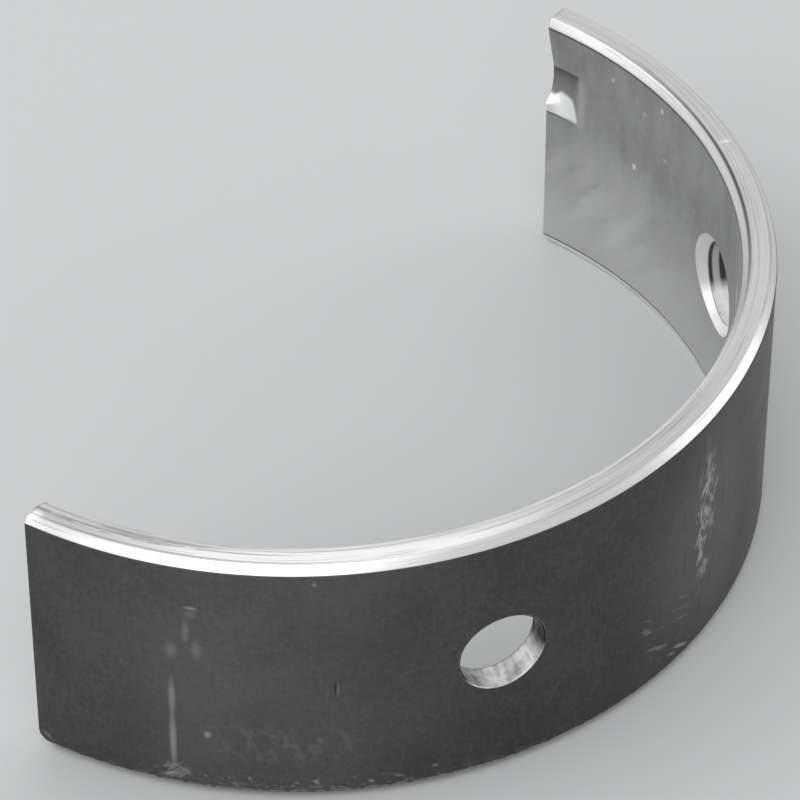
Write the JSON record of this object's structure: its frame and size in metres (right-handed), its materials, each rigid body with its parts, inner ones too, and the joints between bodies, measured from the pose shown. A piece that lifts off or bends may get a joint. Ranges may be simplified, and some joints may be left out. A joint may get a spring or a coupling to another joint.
{
  "type": "engine bearing shell",
  "caption": "Half shell of a plain journal bearing: a bevelled steel arc with a lined bore, countersunk oil holes and a locating lug pressed out of the wall at an end face.",
  "frame": {"origin": "on the bore axis, at mid width", "axes": "+Z along the bore axis, towards the rim nearer the lug; -Y from the bore axis to the middle of the arc; +X towards the end face with the lug"},
  "size_m": [0.0891, 0.0428, 0.0282],
  "materials": {
    "shell_steel": "dark plain steel back, bright machined rims, bevels and countersinks, matt grey lining in the bore"
  },
  "bodies": {
    "root": {"bearing_shell": "shell_steel"}
  },
  "joints": []
}
